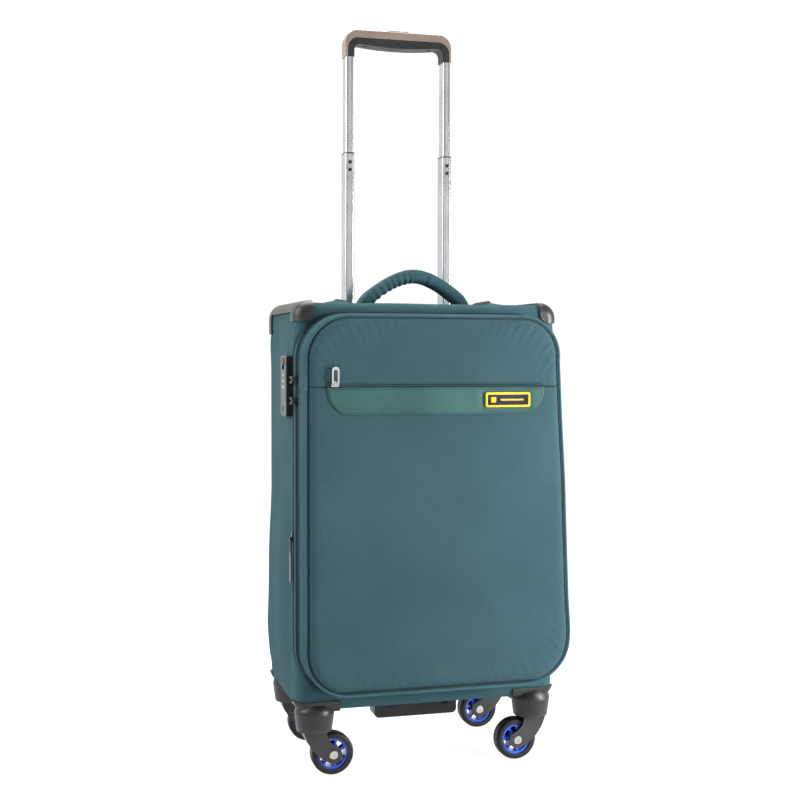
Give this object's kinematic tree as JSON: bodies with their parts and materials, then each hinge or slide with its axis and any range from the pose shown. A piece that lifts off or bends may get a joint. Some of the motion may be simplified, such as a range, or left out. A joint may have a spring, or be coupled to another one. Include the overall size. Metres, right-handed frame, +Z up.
{
  "type": "softside upright suitcase",
  "caption": "Upright softside spinner suitcase with telescopic handle, padded carry handle, zipped lid with front pocket, expansion band and swivel casters.",
  "frame": {"origin": "centre of the bounding box on the floor, under the case", "axes": "+Z up, -Y towards the lid and front pocket, +X towards the hinge side"},
  "size_m": [0.3356, 0.23, 0.8997],
  "materials": {
    "teal_fabric": "woven polyester",
    "leather_trim": "embossed",
    "lining_cloth": "plain",
    "board": "board",
    "spring_steel": "drawn",
    "dark_plastic": "fine texture",
    "black_plastic": "fine texture",
    "tube_aluminium": "anodised, extruded",
    "grip_soft": "soft touch",
    "grip_champagne": "satin",
    "tyre_rubber": "matt",
    "hub_blue": "gloss",
    "zip_dark": "coil",
    "gunmetal": "dark nickel",
    "nickel": "polished",
    "lock_grey": "satin",
    "dial_light": "satin",
    "plate_yellow": "gloss",
    "webbing": "woven webbing"
  },
  "bodies": {
    "case": {"case_shell": "teal_fabric", "back_board": "board", "frame_rod": "spring_steel", "lining": "lining_cloth", "packing_straps": "webbing", "trolley_cup": "black_plastic", "outer_tubes": "tube_aluminium", "trolley_base": "black_plastic", "corner_guard_left": "dark_plastic", "corner_guard_right": "dark_plastic", "swivel_pins": "spring_steel", "bottom_handle": "black_plastic", "expansion_zip": "zip_dark", "lock_body": "lock_grey", "wheel_bracket_front_left": "dark_plastic", "wheel_bracket_front_right": "dark_plastic", "wheel_bracket_back_left": "dark_plastic", "wheel_bracket_back_right": "dark_plastic"},
    "expansion": {"expansion_band": "teal_fabric", "main_zip": "zip_dark"},
    "lid": {"lid_shell": "teal_fabric", "lid_lining": "lining_cloth", "lid_piping": "teal_fabric", "upper_panel": "teal_fabric", "front_pocket": "teal_fabric", "pocket_trim": "leather_trim", "name_plate": "plate_yellow", "pocket_zip": "zip_dark"},
    "pocket_runner": {"pocket_slider": "nickel"},
    "pocket_tab": {"pocket_pull": "nickel"},
    "expansion_runner": {"expansion_slider": "gunmetal"},
    "expansion_tab": {"expansion_pull": "gunmetal"},
    "main_runner_upper": {"main_slider_upper": "gunmetal"},
    "main_runner_lower": {"main_slider_lower": "gunmetal"},
    "dial_1": {"lock_dial_1": "dial_light"},
    "dial_2": {"lock_dial_2": "dial_light"},
    "dial_3": {"lock_dial_3": "dial_light"},
    "release_slide": {"lock_release": "black_plastic"},
    "top_handle": {"carry_handle": "teal_fabric"},
    "side_grab": {"side_handle": "teal_fabric"},
    "trolley_middle": {"middle_tubes": "tube_aluminium", "tube_collars": "black_plastic", "tube_rivets": "black_plastic"},
    "trolley_upper": {"upper_tubes": "tube_aluminium", "grip_body": "grip_soft", "grip_cover": "grip_champagne"},
    "button": {"push_button": "grip_champagne", "release_rods": "spring_steel"},
    "caster_front_left": {"caster_fork_front_left": "dark_plastic"},
    "wheel_front_left": {"wheel_hub_front_left": "hub_blue", "wheel_tyre_front_left": "tyre_rubber"},
    "caster_front_right": {"caster_fork_front_right": "dark_plastic"},
    "wheel_front_right": {"wheel_hub_front_right": "hub_blue", "wheel_tyre_front_right": "tyre_rubber"},
    "caster_back_left": {"caster_fork_back_left": "dark_plastic"},
    "wheel_back_left": {"wheel_hub_back_left": "hub_blue", "wheel_tyre_back_left": "tyre_rubber"},
    "caster_back_right": {"caster_fork_back_right": "dark_plastic"},
    "wheel_back_right": {"wheel_hub_back_right": "hub_blue", "wheel_tyre_back_right": "tyre_rubber"}
  },
  "joints": [
    {"name": "expansion_slide", "type": "slide", "parent": "case", "child": "expansion", "axis": [0, -1, 0], "range_m": [0, 0.03]},
    {"name": "lid_hinge", "type": "hinge", "parent": "expansion", "child": "lid", "pos_m": [0.158, -0.0682, 0.32], "axis": [0, 0, 1], "range_deg": [0, 120]},
    {"name": "pocket_slider_run", "type": "slide", "parent": "lid", "child": "pocket_runner", "axis": [1, 0, 0], "range_m": [0, 0.245]},
    {"name": "pocket_pull_flip", "type": "hinge", "parent": "pocket_runner", "child": "pocket_tab", "pos_m": [-0.1235, -0.1141, 0.4579], "axis": [1, 0, 0], "range_deg": [0, 160]},
    {"name": "expansion_slider_run", "type": "slide", "parent": "case", "child": "expansion_runner", "axis": [0, 0, 1], "range_m": [0, 0.12]},
    {"name": "expansion_pull_flip", "type": "hinge", "parent": "expansion_runner", "child": "expansion_tab", "pos_m": [-0.16225, -0.0493, 0.276], "axis": [0, 1, 0], "range_deg": [0, 160]},
    {"name": "main_slider_upper_run", "type": "slide", "parent": "expansion", "child": "main_runner_upper", "axis": [0, 0, 1], "range_m": [0, 0.018]},
    {"name": "main_slider_lower_run", "type": "slide", "parent": "expansion", "child": "main_runner_lower", "axis": [0, 0, -1], "range_m": [0, 0.135]},
    {"name": "dial_1_turn", "type": "hinge", "parent": "case", "child": "dial_1", "pos_m": [-0.1634, -0.0285, 0.453], "axis": [0, 0, 1], "continuous": true},
    {"name": "dial_2_turn", "type": "hinge", "parent": "case", "child": "dial_2", "pos_m": [-0.1634, -0.0285, 0.46], "axis": [0, 0, 1], "continuous": true},
    {"name": "dial_3_turn", "type": "hinge", "parent": "case", "child": "dial_3", "pos_m": [-0.1634, -0.0285, 0.467], "axis": [0, 0, 1], "continuous": true},
    {"name": "lock_release_slide", "type": "slide", "parent": "case", "child": "release_slide", "axis": [0, 0, -1], "range_m": [0, 0.005], "stiffness_N_per_m": 150, "springref_m": -0.003},
    {"name": "carry_handle_tilt", "type": "hinge", "parent": "case", "child": "top_handle", "pos_m": [0, 0.005, 0.5595], "axis": [1, 0, 0], "range_deg": [-35, 35], "stiffness_Nm_per_rad": 0.4},
    {"name": "side_handle_pull", "type": "slide", "parent": "case", "child": "side_grab", "axis": [1, 0, 0], "range_m": [0, 0.015], "stiffness_N_per_m": 400},
    {"name": "trolley_middle_slide", "type": "slide", "parent": "case", "child": "trolley_middle", "axis": [0, 0, 1], "range_m": [-0.214, 0]},
    {"name": "trolley_upper_slide", "type": "slide", "parent": "trolley_middle", "child": "trolley_upper", "axis": [0, 0, 1], "range_m": [-0.119, 0]},
    {"name": "push_button_press", "type": "slide", "parent": "trolley_upper", "child": "button", "axis": [0, 0, -1], "range_m": [0, 0.0024], "stiffness_N_per_m": 600, "springref_m": -0.003},
    {"name": "swivel_front_left", "type": "hinge", "parent": "case", "child": "caster_front_left", "pos_m": [-0.1345, -0.05, 0.058], "axis": [0, 0, 1], "continuous": true},
    {"name": "spin_front_left", "type": "hinge", "parent": "caster_front_left", "child": "wheel_front_left", "pos_m": [-0.114, -0.05, 0.025], "axis": [0, 1, 0], "continuous": true},
    {"name": "swivel_front_right", "type": "hinge", "parent": "case", "child": "caster_front_right", "pos_m": [0.1345, -0.05, 0.058], "axis": [0, 0, 1], "continuous": true},
    {"name": "spin_front_right", "type": "hinge", "parent": "caster_front_right", "child": "wheel_front_right", "pos_m": [0.114, -0.05, 0.025], "axis": [0, 1, 0], "continuous": true},
    {"name": "swivel_back_left", "type": "hinge", "parent": "case", "child": "caster_back_left", "pos_m": [-0.1345, 0.0916, 0.058], "axis": [0, 0, 1], "continuous": true},
    {"name": "spin_back_left", "type": "hinge", "parent": "caster_back_left", "child": "wheel_back_left", "pos_m": [-0.114, 0.0916, 0.025], "axis": [0, 1, 0], "continuous": true},
    {"name": "swivel_back_right", "type": "hinge", "parent": "case", "child": "caster_back_right", "pos_m": [0.1345, 0.0916, 0.058], "axis": [0, 0, 1], "continuous": true},
    {"name": "spin_back_right", "type": "hinge", "parent": "caster_back_right", "child": "wheel_back_right", "pos_m": [0.114, 0.0916, 0.025], "axis": [0, 1, 0], "continuous": true}
  ]
}
